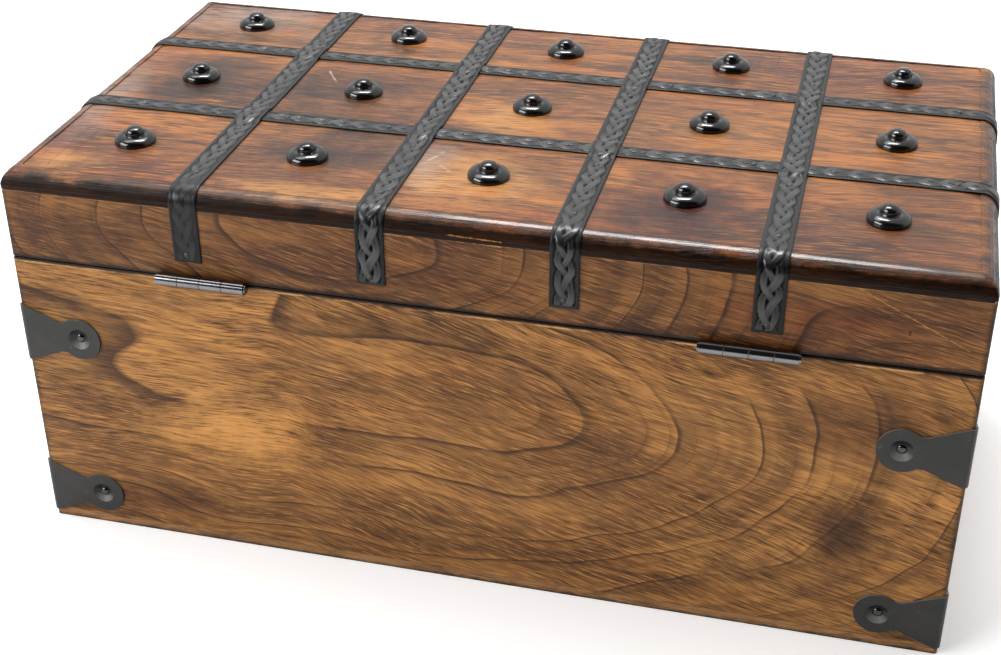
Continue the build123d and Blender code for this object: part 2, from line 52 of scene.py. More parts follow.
def placeCamera(settings):
    tilt = math.radians(settings["downTilt"])
    roll = math.radians(settings["roll"])
    level = Vector((*settings["heading"], 0)).normalized()
    forward = level * math.cos(tilt) - Vector((0, 0, math.sin(tilt)))
    right = forward.cross(Vector((0, 0, 1))).normalized()
    up = right.cross(forward)
    turnedRight = right * math.cos(roll) + up * math.sin(roll)
    turnedUp = up * math.cos(roll) - right * math.sin(roll)
    data = bpy.data.cameras.new("photoCamera")
    data.lens = settings["lens"]
    data.sensor_width = settings["sensor"]
    data.clip_start = 0.01
    camera = bpy.data.objects.new("photoCamera", data)
    bpy.context.collection.objects.link(camera)
    turn = Matrix((turnedRight, turnedUp, -forward)).transposed().to_4x4()
    camera.matrix_world = Matrix.Translation(Vector(settings["place"]) * mm) @ turn
    bpy.context.scene.camera = camera


placeCamera(view)
print("camera placed")


def linear(hexCode):
    # sRGB hex to a linear colour
    parts = [int(hexCode[i:i + 2], 16) / 255 for i in (1, 3, 5)]
    return [p / 12.92 if p <= 0.04045 else ((p + 0.055) / 1.055) ** 2.4 for p in parts] + [1.0]


def addNode(material, kind, links=None, stops=None, give=0, **settings):
    # One shader node with its settings, colour stops and links; gives back one of its outputs
    node = material.node_tree.nodes.new("ShaderNode" + kind)
    for key, value in settings.items():
        setattr(node, key, value)
    if stops:
        ramp = node.color_ramp
        for i, (place, colour) in enumerate(stops):
            stop = ramp.elements[i] if i < 2 else ramp.elements.new(place)
            stop.position = place
            stop.color = (colour, colour, colour, 1) if isinstance(colour, (int, float)) else colour
    for socket, value in (links or {}).items():
        target = node.inputs[socket]
        if isinstance(value, bpy.types.NodeSocket):
            material.node_tree.links.new(value, target)
        else:
            target.default_value = value
    return node.outputs[give] if len(node.outputs) else None


def emptyMaterial(name):
    material = bpy.data.materials.new(name)
    material.use_nodes = True
    material.node_tree.nodes.clear()
    return material


def finishSurface(material, links):
    # The principled shader at the end of a material
    shader = addNode(material, "BsdfPrincipled", links)
    addNode(material, "OutputMaterial", {"Surface": shader})
    return material


def howFar(material, place, centre, reach):
    # Distance from a centre as a share of the reach, which may differ along each axis
    away = addNode(material, "VectorMath", {0: place, 1: centre}, operation="SUBTRACT")
    away = addNode(material, "VectorMath", {0: away, 1: reach}, operation="DIVIDE")
    return addNode(material, "VectorMath", {0: away}, operation="LENGTH", give="Value")


def offLevel(material, value, level):
    # How far a value lies from a level, on either side of it
    off = addNode(material, "Math", {0: value, 1: level}, operation="SUBTRACT")
    return addNode(material, "Math", {0: off}, operation="ABSOLUTE")


# Mango wood, stained, waxed and rubbed: brown with dark growth rings, open pores and a soft shine.
# The patterns are in millimetres: u runs along the fibres, v across the board and w through it.
woodCommon = {
    "turn": (0, 0, 0),
    "pale": "#9c6b3a", "middle": "#75482a", "dark": "#4d2e1b", "cloud": "#56402f",
    "pore": "#2c1809", "ring": "#261408", "burnt": "#100805", "worn": "#b98a55",
    "inside": "#a87c50", "insidePale": "#8f6a46",  # bare wood, never stained
    "figures": [(60, 330, 7.0, 0.0)],  # u and v of the centre, stretch along u, extra stretch towards +u
    "pinches": [],  # where the fibres draw together: centre, reach, strength
    "stains": [],  # patches listed one by one: centre, reach, tone with its way of blending, strength
    "rimLine": 0.0,  # mm from the edge where the planed round meets the flat, drawn there as a thin dark line
    "ringStep": 12.0, "ringStrength": 0.8, "poreStrength": 0.75, "cloudAmount": 0.35,
    "patchAmount": 0.5, "bandAmount": 0.5, "patchSize": (0.011, 0.028, 0.028),
    "pores": (0.10, 2.1, 2.1),  # per mm: dashes 4 to 12 mm long, drawn 0.5 mm wide so that they show
    "lean": 0.0,  # degrees that the fibres run off the board's length
    "slant": None,  # where along the board they begin to fall away, and how many degrees
    "burntReach": 5.0,  # mm that the dark rubbed stain comes in from the edges
    "wornHeights": [],  # mm above the floor where the stain is rubbed off an edge
    # On the lid's round-over the band is a burnt stain; along the seam between lid and base it is painted shade of the
    # gap
    "burntBands": [],  # heights in mm between which the edge is nearly black
    "marks": [],  # scratches and chips: start, end, half width in mm, tone, strength
    "fibreAmount": 0.55, "glintAmount": 0.5, "calmest": 0.35,
    "roughness": 0.42, "shine": 0.18, "coat": 0.0,
    "box": ((-184, -100, 0), (184, 100, 125)),
    "seed": 0.0,
}


def woodMaterial(name, shared, **changes):
    look = {**woodCommon, **shared, **changes}
    material = emptyMaterial(name)
    place = addNode(material, "TexCoord", give="Object")
    row = addNode(material, "Mapping", {"Vector": place, "Scale": (1000, 1000, 1000)})
    turned = addNode(material, "Mapping", {"Vector": row, "Rotation": look["turn"]})
    for centre, reach, strength in look["pinches"]:
        fall = addNode(material, "MapRange", {
            "Value": howFar(material, turned, centre, reach), "From Min": 1.0, "From Max": 0.0,
            "To Max": strength}, interpolation_type="SMOOTHSTEP")
        away = addNode(material, "VectorMath", {0: turned, 1: centre}, operation="SUBTRACT")
        away = addNode(material, "VectorMath", {0: away, 1: (0, 1, 0)}, operation="MULTIPLY")
        away = addNode(material, "VectorMath", {0: away, "Scale": fall}, operation="SCALE")
        turned = addNode(material, "VectorMath", {0: turned, 1: away}, operation="ADD")
    board = addNode(material, "VectorMath", {0: turned, 1: (look["seed"], 0, look["seed"])}, operation="ADD")

    # The fibres wander: a slow drift across the board and a finer one
    slow = addNode(material, "Mapping", {"Vector": board, "Scale": (0.007, 0.016, 0.016)})
    drift = addNode(material, "TexNoise", {"Vector": slow, "Scale": 1, "Detail": 3, "Roughness": 0.5}, give="Color")
    drift = addNode(material, "VectorMath", {0: drift, 1: (0.5, 0.5, 0.5)}, operation="SUBTRACT")
    moved = addNode(material, "VectorMath", {0: drift, 1: (14, 36, 14), 2: turned}, operation="MULTIPLY_ADD")
    fibres = addNode(material, "VectorMath", {0: drift, 1: (8, 22, 8), 2: turned}, operation="MULTIPLY_ADD")
    fibres = addNode(material, "Mapping", {"Vector": fibres, "Rotation": (0, 0, math.radians(look["lean"]))})
    if look["slant"]:
        begin, fall = look["slant"]
        u = addNode(material, "SeparateXYZ", {0: turned})
        drop = addNode(material, "MapRange", {
            "Value": u, "From Min": begin, "From Max": begin - 300, "To Max": 300 * math.tan(math.radians(fall))})
        drop = addNode(material, "CombineXYZ", {1: drop})
        fibres = addNode(material, "VectorMath", {0: fibres, 1: drop}, operation="ADD")

    # Growth rings as nested ovals round the figures of a flat-sawn board
    distance = None
    for u, v, stretch, tongue in look["figures"]:
        away = addNode(material, "VectorMath", {0: moved, 1: (u, v, 0)}, operation="SUBTRACT")
        away = addNode(material, "VectorMath", {0: away, 1: (stretch, 1.0, 4.0)}, operation="DIVIDE")
        ahead = addNode(material, "VectorMath", {0: away, 1: (0, 0, 0)}, operation="MAXIMUM")
        away = addNode(material, "VectorMath", {0: ahead, 1: (-tongue, 0, 0), 2: away}, operation="MULTIPLY_ADD")
        reach = addNode(material, "VectorMath", {0: away}, operation="LENGTH", give="Value")
        distance = reach if distance is None else addNode(
            material, "Math", {0: distance, 1: reach, 2: 24}, operation="SMOOTH_MIN")
    uneven = addNode(material, "TexNoise", {"W": distance, "Scale": 0.055, "Detail": 1}, noise_dimensions="1D")
    tone = addNode(material, "TexNoise", {"W": distance, "Scale": 0.11, "Detail": 2}, noise_dimensions="1D")
    distance = addNode(material, "Math", {0: uneven, 1: 22, 2: distance}, operation="MULTIPLY_ADD")
    turns = addNode(material, "Math", {0: distance, 1: 1 / look["ringStep"], 2: 0.45}, operation="MULTIPLY_ADD")
    part = addNode(material, "Math", {0: turns}, operation="FRACT")
    lesser = addNode(material, "Math", {0: distance, 1: 2.7 / look["ringStep"]}, operation="MULTIPLY")
    lesser = addNode(material, "Math", {0: lesser}, operation="FRACT")
    lesser = addNode(material, "MapRange", {"Value": lesser, "From Min": 0.22, "From Max": 0.0, "To Max": 0.42})
    ring = addNode(material, "ValToRGB", {"Fac": part},
                   stops=[(0.0, 1.0), (0.032, 0.8), (0.068, 0.34), (0.36, 0.08), (0.98, 0.0), (1.0, 0.9)])
    breaks = addNode(material, "TexNoise", {"Vector": slow, "Scale": 2.4, "Detail": 3, "Roughness": 0.6}, give="Color")
    breaks = addNode(material, "SeparateColor", {"Color": breaks})
    faint = addNode(material, "MapRange", {"Value": breaks.node.outputs[1], "From Min": 0.42, "From Max": 0.58})
    breaks = addNode(material, "MapRange", {"Value": breaks, "From Min": 0.32, "From Max": 0.50})
    ring = addNode(material, "Math", {0: ring, 1: breaks}, operation="MULTIPLY")
    lesser = addNode(material, "Math", {0: lesser, 1: faint}, operation="MULTIPLY")
    ring = addNode(material, "Math", {0: ring, 1: lesser}, operation="MAXIMUM")
    ring = addNode(material, "Math", {0: ring, 1: look["ringStrength"]}, operation="MULTIPLY")

    # Open pores as short dark dashes, and the fine fibres between them
    along = addNode(material, "Mapping", {"Vector": fibres, "Scale": look["pores"]})
    dashes = addNode(material, "TexNoise", {"Vector": along, "Scale": 1, "Detail": 3, "Roughness": 0.6})
    pore = addNode(material, "MapRange", {"Value": dashes, "From Min": 0.52, "From Max": 0.63})
    calm = addNode(material, "TexNoise", {"Vector": slow, "Scale": 1.3, "Detail": 2}, give="Color")
    calm = addNode(material, "SeparateColor", {"Color": calm}, give=2)
    calm = addNode(material, "MapRange", {"Value": calm, "From Min": 0.40, "From Max": 0.60, "To Min": look["calmest"]})
    pore = addNode(material, "Math", {0: pore, 1: calm}, operation="MULTIPLY")
    glint = addNode(material, "MapRange", {
        "Value": dashes, "From Min": 0.46, "From Max": 0.34, "To Max": look["glintAmount"]})
    fine = addNode(material, "Mapping", {"Vector": fibres, "Scale": (0.03, 0.75, 0.75)})
    fibre = addNode(material, "TexNoise", {"Vector": fine, "Scale": 1, "Detail": 4, "Roughness": 0.65})

    # The stain took unevenly: warm and pale patches, dark ones and a greyish bloom
    patches = addNode(material, "Mapping", {"Vector": board, "Scale": look["patchSize"]})
    warm = addNode(material, "TexNoise", {"Vector": patches, "Scale": 1, "Detail": 5, "Roughness": 0.6})
    clouds = addNode(material, "TexNoise", {
        "Vector": patches, "Scale": 1.9, "Detail": 4, "Roughness": 0.55, "Distortion": 0.6}, give="Color")
    split = addNode(material, "SeparateColor", {"Color": clouds})
    darkPatch, cloudPatch = split.node.outputs[1], split.node.outputs[2]
    paleShare = addNode(material, "MapRange", {"Value": warm, "From Min": 0.40, "From Max": 0.62})
    darkShare = addNode(material, "MapRange", {
        "Value": darkPatch, "From Min": 0.50, "From Max": 0.70, "To Max": look["patchAmount"]})
    toneShare = addNode(material, "MapRange", {
        "Value": tone, "From Min": 0.48, "From Max": 0.66, "To Max": look["bandAmount"]})
    cloudShare = addNode(material, "MapRange", {
        "Value": cloudPatch, "From Min": 0.42, "From Max": 0.62, "To Max": look["cloudAmount"]})
    fibreShare = addNode(material, "MapRange", {
        "Value": fibre, "From Min": 0.40, "From Max": 0.66, "To Max": look["fibreAmount"]})
    colour = addNode(material, "MixRGB", {
        "Fac": paleShare, "Color1": linear(look["middle"]), "Color2": linear(look["pale"])})
    for share, tint in ((cloudShare, "cloud"), (darkShare, "dark"), (toneShare, "dark"), (fibreShare, "dark"),
                        (glint, "pale"), (ring, "ring")):
        colour = addNode(material, "MixRGB", {"Fac": share, "Color1": colour, "Color2": linear(look[tint])})

    blotchy = addNode(material, "TexNoise", {"Vector": fibres, "Scale": 0.045, "Detail": 5, "Roughness": 0.65})
    for centre, reach, (tint, blend), strength in look["stains"]:
        away = howFar(material, row, centre, reach)
        away = addNode(material, "Math", {0: blotchy, 1: 2.2, 2: away}, operation="MULTIPLY_ADD")
        inStain = addNode(material, "MapRange", {
            "Value": away, "From Min": 2.3, "From Max": 1.2, "To Max": strength}, interpolation_type="SMOOTHSTEP")
        colour = addNode(material, "MixRGB", {
            "Fac": inStain, "Color1": colour, "Color2": linear(tint)}, blend_type=blend)

    # Distance to the nearest outside edge: the middle one of the distances to the three pairs of faces
    lowest, highest = (Vector(corner) for corner in look["box"])
    half = (highest - lowest) / 2
    out = addNode(material, "VectorMath", {0: row, 1: lowest + half}, operation="SUBTRACT")
    out = addNode(material, "VectorMath", {0: out}, operation="ABSOLUTE")
    deep = addNode(material, "VectorMath", {0: half, 1: out}, operation="SUBTRACT")
    x = addNode(material, "SeparateXYZ", {0: deep})
    y, z = x.node.outputs[1], x.node.outputs[2]
    lower = addNode(material, "Math", {0: x, 1: y}, operation="MINIMUM")
    upper = addNode(material, "Math", {0: x, 1: y}, operation="MAXIMUM")
    upper = addNode(material, "Math", {0: upper, 1: z}, operation="MINIMUM")
    edge = addNode(material, "Math", {0: lower, 1: upper}, operation="MAXIMUM")
    nearest = addNode(material, "Math", {0: lower, 1: z}, operation="MINIMUM")
    ragged = addNode(material, "TexNoise", {"Vector": board, "Scale": 0.09, "Detail": 5, "Roughness": 0.65})
    raggedEdge = addNode(material, "Math", {0: ragged, 1: 2.4 * look["burntReach"], 2: edge}, operation="MULTIPLY_ADD")
    burnt = addNode(material, "MapRange", {
        "Value": raggedEdge, "From Min": 1.25 * look["burntReach"], "From Max": 2.3 * look["burntReach"],
        "To Min": 0.9, "To Max": 0.0})
    colour = addNode(material, "MixRGB", {"Fac": burnt, "Color1": colour, "Color2": linear(look["burnt"])})

    if look["rimLine"]:
        off = addNode(material, "Math", {0: ragged, 1: 1.2, 2: edge}, operation="MULTIPLY_ADD")
        off = offLevel(material, off, look["rimLine"] + 0.6)
        line = addNode(material, "MapRange", {
            "Value": off, "From Min": 0.2, "From Max": 0.7, "To Min": 0.85, "To Max": 0.0})
        offEnd = addNode(material, "MapRange", {"Value": x, "From Min": 8.0, "From Max": 16.0})
        line = addNode(material, "Math", {0: line, 1: offEnd}, operation="MULTIPLY")
        colour = addNode(material, "MixRGB", {"Fac": line, "Color1": colour, "Color2": linear(look["burnt"])})

    height = addNode(material, "SeparateXYZ", {0: row}, give=2)
    gloss = None
    # Bands of the burnt colour: a burnt stain on the lid's round-over, and painted shade along the seam between lid and
    # base
    for low, high, strength in look["burntBands"]:
        wavy = addNode(material, "Math", {0: ragged, 1: 2.0, 2: height}, operation="MULTIPLY_ADD")
        off = offLevel(material, wavy, (low + high) / 2 + 1)
        inBand = addNode(material, "MapRange", {
            "Value": off, "From Min": (high - low) / 2 - 0.3, "From Max": (high - low) / 2 + 0.6,
            "To Min": strength, "To Max": 0.0})
        outside = addNode(material, "MapRange", {"Value": lower, "From Min": 3.0, "From Max": 2.0})
        inBand = addNode(material, "Math", {0: inBand, 1: outside}, operation="MULTIPLY")
        colour = addNode(material, "MixRGB", {"Fac": inBand, "Color1": colour, "Color2": linear(look["burnt"])})
        gloss = inBand
    for paintedLightShare in look["wornHeights"]:
        off = offLevel(material, height, paintedLightShare)
        line = addNode(material, "MapRange", {
            "Value": off, "From Min": 0.2, "From Max": 0.55, "To Min": 1.0, "To Max": 0.0})
        gaps = addNode(material, "TexNoise", {"Vector": board, "Scale": 0.05, "Detail": 4})
        gaps = addNode(material, "MapRange", {"Value": gaps, "From Min": 0.46, "From Max": 0.56, "To Max": 0.85})
        line = addNode(material, "Math", {0: line, 1: gaps}, operation="MULTIPLY")
        colour = addNode(material, "MixRGB", {"Fac": line, "Color1": colour, "Color2": linear(look["worn"])})

    chipped = addNode(material, "TexNoise", {"Vector": row, "Scale": 0.4, "Detail": 4, "Roughness": 0.7})
    for start, end, reach, tint, strength in look["marks"]:
        whole = Vector(end) - Vector(start)
        fromStart = addNode(material, "VectorMath", {0: row, 1: start}, operation="SUBTRACT")
        share = addNode(material, "VectorMath", {
            0: fromStart, 1: whole / whole.length_squared}, operation="DOT_PRODUCT", give="Value")
        share = addNode(material, "Clamp", {0: share})
        onMark = addNode(material, "VectorMath", {0: whole, "Scale": share}, operation="SCALE")
        away = addNode(material, "VectorMath", {0: fromStart, 1: onMark}, operation="DISTANCE", give="Value")
        away = addNode(material, "Math", {0: chipped, 1: 3.2 * reach, 2: away}, operation="MULTIPLY_ADD")
        inMark = addNode(material, "MapRange", {
            "Value": away, "From Min": 1.7 * reach, "From Max": 2.3 * reach, "To Min": strength, "To Max": 0.0})
        colour = addNode(material, "MixRGB", {"Fac": inMark, "Color1": colour, "Color2": linear(tint)})

    # Inside the chest the wood is bare: paler, without the stain and the wax
    insideShare = addNode(material, "MapRange", {"Value": nearest, "From Min": 3.0, "From Max": 3.6})
    bare = addNode(material, "MixRGB", {
        "Fac": paleShare, "Color1": linear(look["inside"]), "Color2": linear(look["insidePale"])})
    bare = addNode(material, "MixRGB", {"Fac": ring, "Color1": bare, "Color2": linear(look["middle"])})
    colour = addNode(material, "MixRGB", {"Fac": insideShare, "Color1": colour, "Color2": bare})
    poreShare = addNode(material, "Math", {0: pore, 1: look["poreStrength"]}, operation="MULTIPLY")
    colour = addNode(material, "MixRGB", {"Fac": poreShare, "Color1": colour, "Color2": linear(look["pore"])})

    dull, relief = look["roughness"] - 0.11, fibre
    for share, amount in ((fibre, 0.22), (poreShare, 0.3), (insideShare, 0.25)):
        dull = addNode(material, "Math", {0: share, 1: amount, 2: dull}, operation="MULTIPLY_ADD")
    for share, amount in ((pore, -0.7), (ring, 0.4)):
        relief = addNode(material, "Math", {0: share, 1: amount, 2: relief}, operation="MULTIPLY_ADD")
    bump = addNode(material, "Bump", {"Height": relief, "Strength": 0.5, "Distance": 0.00022})
    shine, coat = look["shine"], look["coat"]
    if coat and gloss:
        # The burnt lower edge was never polished
        coat = addNode(material, "Math", {0: gloss, 1: -coat, 2: coat}, operation="MULTIPLY_ADD")
        shine = addNode(material, "Math", {0: gloss, 1: 0.05 - shine, 2: shine}, operation="MULTIPLY_ADD")
    return finishSurface(material, {
        "Base Color": colour, "Roughness": dull, "Normal": bump, "IOR": 1.5, "Specular IOR Level": shine,
        "Coat Weight": coat, "Coat Roughness": 0.16, "Coat IOR": 1.5})


lidBox = ((-184, -100, 125.2), (184, 100, 162))
backTurn = (math.radians(-90), 0, 0)
endTurn = (math.radians(-90), math.radians(-90), 0)
crack, scuff, chip = "#1a0d07", "#b39c86", "#b4813f"
smoky, brown, russet = ("#6c5f5c", "MULTIPLY"), ("#917c6e", "MULTIPLY"), ("#bd7e62", "MULTIPLY")
# The grey bloom is partly wax bloom round the scuffs and partly painted sheen, where the top catches glancing light at
# its +x end and far corner
golden, bloomAndPaintedSheen = ("#c48a48", "MIX"), ("#9b8b80", "MIX")


def onTop(stains):
    # Stains of the top board: x and y of the centre, reach along both, tone and strength
    return [((x, y, 162), (reachX, reachY, 99), tone, strength) for x, y, reachX, reachY, tone, strength in stains]


def onSide(y, stains):
    # Stains of a long side: x and z of the centre, reach along both, tone and strength
    return [((x, y, z), (reachX, 99, reachZ), tone, strength) for x, z, reachX, reachZ, tone, strength in stains]


lidSides = {
    "pale": "#986735", "middle": "#5e361a", "dark": "#231208", "cloud": "#3c2515", "glintAmount": 0.7,
    # The band along the lid's lower edge is painted shade of the seam between lid and base
    "ringStep": 10.0, "burntReach": 2.5, "burntBands": [(124.0, 126.3, 0.95)], "wornHeights": [154.6], "box": lidBox,
}
baseSides = {
    "dark": "#3b230e", "cloud": "#5c412b", "glintAmount": 0.8, "fibreAmount": 0.62, "ringStep": 13.0,
    # The band along the base's top edge is painted shade of the seam between lid and base
    "poreStrength": 0.8, "burntReach": 2.2, "burntBands": [(124.4, 125.6, 0.9)], "wornHeights": [123.7],
}
woods = {
    "lidTop": woodMaterial("mangoWoodWaxedTop", {}, lean=-3.0,
        pale="#b8722f", middle="#7d401d", dark="#26130a", cloud="#402717", burnt="#070403",
        pores=(0.085, 1.25, 1.25), poreStrength=0.75, fibreAmount=0.5, glintAmount=0.7, calmest=0.6,
        ringStep=15.0, ringStrength=0.4,
        patchAmount=0.75, patchSize=(0.0075, 0.02, 0.02), cloudAmount=0.4, rimLine=6.6,
        burntReach=8.0, burntBands=[(148.0, 159.6, 0.9)], roughness=0.36, shine=0.25, coat=0.35, box=lidBox,
        stains=onTop([
            (72, 54, 46, 30, smoky, 1.0), (78, -4, 40, 34, smoky, 0.95), (142, -8, 36, 32, smoky, 0.8),
            (62, 90, 44, 9, golden, 0.5), (150, 10, 22, 30, brown, 0.8), (140, -66, 34, 18, smoky, 0.6),
            (-40, 90, 60, 10, russet, 0.5), (-150, 60, 28, 30, brown, 0.8), (8, 64, 30, 24, golden, 0.6),
            (28, 52, 14, 24, bloomAndPaintedSheen, 0.4), (8, 8, 24, 18, golden, 0.45), (-74, 4, 34, 24, golden, 0.2),
            (-74, 66, 48, 34, brown, 1.0), (-74, 70, 46, 30, russet, 0.8),
            (150, -76, 44, 26, bloomAndPaintedSheen, 0.5), (174, 30, 14, 60, bloomAndPaintedSheen, 0.4),
            (165, 84, 20, 12, golden, 0.6), (176, 70, 12, 30, russet, 0.6)]),
        marks=[((94, -24, 162), (88, -14, 162), 1.1, scuff, 0.7), ((24, 44, 162), (28, 54, 162), 1.2, scuff, 0.6),
               ((17, 60, 162), (22, 56, 162), 0.8, scuff, 0.7), ((7, 100, 156.5), (-13, 100, 156), 0.5, chip, 0.6),
               ((163, 55, 162), (163.5, 84, 162), 0.3, crack, 0.8), ((168, 52, 162), (168, 90, 162), 0.3, crack, 0.8),
               ((174, 60, 162), (174.5, 92, 162), 0.3, crack, 0.7),
               ((-84, -74, 162), (-84, -94, 162), 0.35, crack, 0.9),
               ((-92, -76, 162), (-92, -95, 162), 0.35, crack, 0.9),
               ((-103, -77, 162), (-103.5, -93, 162), 0.35, crack, 0.8)]),
    "lidBack": woodMaterial("mangoWoodWaxedLidBack", lidSides, turn=backTurn, lean=-12.0, ringStrength=0.9,
        figures=[(52, 152, 1.9, 0.0), (-190, 235, 1.5, 0.0)],
        stains=onSide(100, [(-120, 140, 50, 12, russet, 0.55), (150, 140, 40, 14, brown, 0.3)]),
        marks=[((-138.6, 100, 154), (-177.5, 100, 134.6), 0.35, chip, 0.6),
               ((-157, 100, 139.8), (-157, 100, 138.4), 0.9, crack, 0.9),
               ((7, 100, 154.6), (-13, 100, 154.2), 0.7, chip, 0.7),
               ((60, 100, 154.4), (20, 100, 153.8), 0.3, chip, 0.6)]),
    "lidFront": woodMaterial("mangoWoodWaxedLidFront", lidSides, turn=backTurn, lean=6.0, seed=310.0,
        figures=[(-70, 60, 2.5, 0.3), (110, 190, 1.8, 0.0)]),
    "lidEnd": woodMaterial("mangoWoodWaxedLidEnd", lidSides, turn=endTurn, ringStep=9.0, seed=120.0,
        figures=[(20, 80, 3.5, 0.0)]),
    "baseBack": woodMaterial("mangoWoodWaxedBaseBack", baseSides, turn=backTurn, lean=-2.0, slant=(75.0, 13.0),
        pale="#b57e42", middle="#855729",
        figures=[(112, 132, 1.9, 0.6), (-4, 84, 1.8, 0.72)], ringStrength=0.85,
        pinches=[((-8, 66, 0), (105, 100, 90), 0.75)],
        stains=onSide(100, [
            (98, 58, 42, 20, golden, 0.8), (140, 16, 60, 14, brown, 0.8), (168, 108, 24, 12, smoky, 0.5),
            (-142, 50, 16, 26, smoky, 0.8), (28, 112, 44, 10, smoky, 0.6),
            (-150, 100, 40, 20, brown, 0.6)])),
    "baseFront": woodMaterial("mangoWoodWaxedBaseFront", baseSides, turn=backTurn, lean=-6.0, seed=470.0,
        pale="#b6844c", middle="#82562a",
        figures=[(-110, 40, 2.6, 0.0), (90, 95, 1.7, 0.6)],
        stains=onSide(-100, [(20, 40, 70, 22, golden, 0.6), (-120, 90, 50, 24, brown, 0.7)])),
    "baseEnd": woodMaterial("mangoWoodWaxedBaseEnd", baseSides, turn=endTurn, ringStep=12.0, seed=210.0,
        pale="#ab7a46", middle="#7a5028", cloud="#583e2b", poreStrength=0.85,
        figures=[(30, 20, 2.2, 0.5)]),
    "bottom": woodMaterial("mangoWoodPlainBottom", {},
        pale="#a5794c", middle="#8a623c", dark="#6a4a2e", cloud="#77593d",
        figures=[(0, 400, 6.0, 0.0)], ringStrength=0.3, burntReach=1.5, roughness=0.6),
}
print("wood materials made")


# Round beech dowels, cut flush: pale end grain
def dowelMaterial():
    material = emptyMaterial("beechDowelSawn")
    place = addNode(material, "TexCoord", give="Object")
    specks = addNode(material, "TexNoise", {"Vector": place, "Scale": 1800, "Detail": 2})
    share = addNode(material, "MapRange", {"Value": specks, "From Min": 0.45, "From Max": 0.65})
    colour = addNode(material, "MixRGB", {"Fac": share, "Color1": linear("#6f4a2c"), "Color2": linear("#3c2415")})
    bump = addNode(material, "Bump", {"Height": specks, "Strength": 0.4, "Distance": 0.0002})
    return finishSurface(material, {"Base Color": colour, "Roughness": 0.55, "Normal": bump})


def facingUp(material):
    # 1 on a face that looks straight up, -1 on one that looks down
    facing = addNode(material, "NewGeometry", give="Normal")
    return addNode(material, "SeparateXYZ", {0: facing}, give=2)


# Lacquered sheet iron: a thin baked coat, even and satin, with faint rolling lines and small rubs
def lacqueredIron(name, dark, pale, roughness, rubs, shine, coat, dustAndPaintedLight):
    material = emptyMaterial(name)
    place = addNode(material, "TexCoord", give="Object")
    orange = addNode(material, "TexNoise", {"Vector": place, "Scale": 420, "Detail": 3, "Roughness": 0.5})
    cloudy = addNode(material, "TexNoise", {"Vector": place, "Scale": 60, "Detail": 5, "Roughness": 0.65})
    share = addNode(material, "MapRange", {"Value": cloudy, "From Min": 0.40, "From Max": 0.66})
    colour = addNode(material, "MixRGB", {"Fac": share, "Color1": linear(dark), "Color2": linear(pale)})
    scratched = addNode(material, "TexNoise", {"Vector": place, "Scale": 240, "Detail": 6, "Roughness": 0.75})
    scratch = addNode(material, "MapRange", {"Value": scratched, "From Min": 0.63, "From Max": 0.70, "To Max": rubs})
    # Painted light and shade: faces that point up are painted a paler grey, partly dust and partly light from above,
    # and faces that point down are painted black as shade
    upward = facingUp(material)
    paintedLightShare = addNode(material, "MapRange", {"Value": upward, "From Min": 0.12, "From Max": 0.5, "To Max": dustAndPaintedLight})
    paintedShadeBelow = addNode(material, "MapRange", {"Value": upward, "From Min": -0.08, "From Max": -0.35, "To Max": dustAndPaintedLight})
    for share, tint in ((scratch, "#8d8984"), (paintedLightShare, "#7c7c7a"), (paintedShadeBelow, "#020202")):
        colour = addNode(material, "MixRGB", {"Fac": share, "Color1": colour, "Color2": linear(tint)})
    shine = addNode(material, "Math", {0: paintedShadeBelow, 1: -shine, 2: shine}, operation="MULTIPLY_ADD")
    dull = addNode(material, "Math", {0: cloudy, 1: 0.22, 2: roughness - 0.11}, operation="MULTIPLY_ADD")
    bump = addNode(material, "Bump", {"Height": orange, "Strength": 0.35, "Distance": 0.00012})
    return finishSurface(material, {
        "Base Color": colour, "Roughness": dull, "Normal": bump, "IOR": 1.5, "Specular IOR Level": shine,
        "Coat Weight": coat, "Coat Roughness": 0.12})


# Nickel-plated steel: bright, slightly cool, smooth from polishing, with a faint haze
def nickelSteel(name, tone, hazed, roughness):
    material = emptyMaterial(name)
    place = addNode(material, "TexCoord", give="Object")
    haze = addNode(material, "TexNoise", {"Vector": place, "Scale": 160, "Detail": 4, "Roughness": 0.6})
    share = addNode(material, "MapRange", {"Value": haze, "From Min": 0.48, "From Max": 0.70, "To Max": 0.5})
    colour = addNode(material, "MixRGB", {"Fac": share, "Color1": linear(tone), "Color2": linear(hazed)})
    dull = addNode(material, "Math", {0: share, 1: 0.15, 2: roughness}, operation="MULTIPLY_ADD")
    return finishSurface(material, {"Base Color": colour, "Metallic": 1.0, "Roughness": dull})


